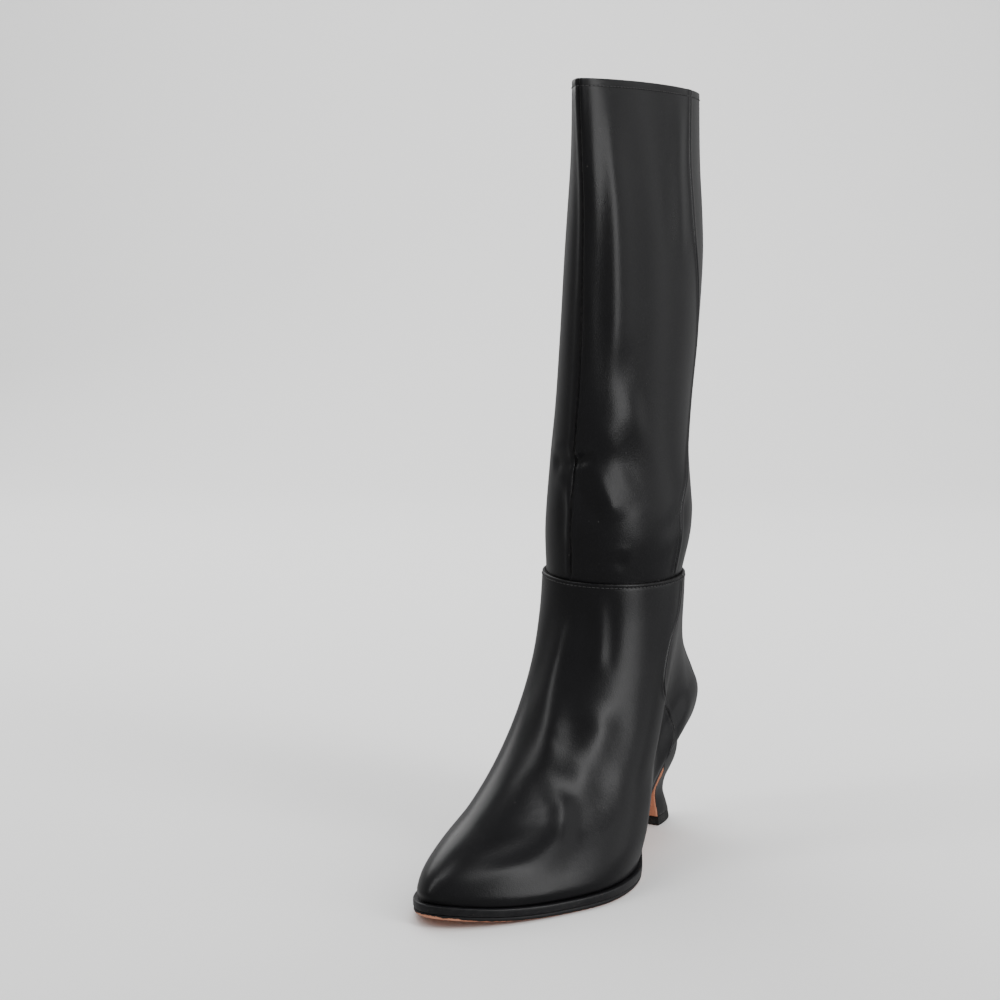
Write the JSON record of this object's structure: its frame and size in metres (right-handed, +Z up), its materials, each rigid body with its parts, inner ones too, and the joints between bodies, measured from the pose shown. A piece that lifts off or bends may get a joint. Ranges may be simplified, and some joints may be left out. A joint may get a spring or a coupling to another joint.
{
  "type": "knee-high boot",
  "caption": "Black leather knee-high boot for the left foot with pointed toe, slim flared heel, inner side zip and elastic gore at the rim.",
  "frame": {"origin": "middle of the boot's plan box, on the floor that it stands on", "axes": "+Z up, toe towards -Y, heel towards +Y, outer (lateral) side of the left foot towards +X"},
  "size_m": [0.0962, 0.2724, 0.429],
  "materials": {
    "black_leather": "smooth, semi-gloss",
    "heel_leather": "smooth, satin",
    "edge_paint": "painted edge, satin",
    "tan_sole": "smooth, matt",
    "top_piece": "matt",
    "lining": "matt",
    "zip_tape": "woven, matt",
    "elastic": "ribbed, matt",
    "zip_metal": "black, semi-gloss"
  },
  "bodies": {
    "boot": {"upper": "black_leather", "shaft": "black_leather", "gore": "elastic", "zip_tape": "zip_tape", "zip_chain": "zip_metal", "zip_slider": "zip_metal", "heel": "heel_leather", "top_piece": "top_piece", "welt": "edge_paint", "outsole": "tan_sole", "insole": "lining"},
    "pull": {"zip_pull": "zip_metal"}
  },
  "joints": [
    {"name": "zip_pull_hinge", "type": "hinge", "parent": "boot", "child": "pull", "pos_m": [-0.03761, 0.05946, 0.23582], "axis": [0.075, 0.9912, -0.1095], "range_deg": [0, 150]}
  ]
}
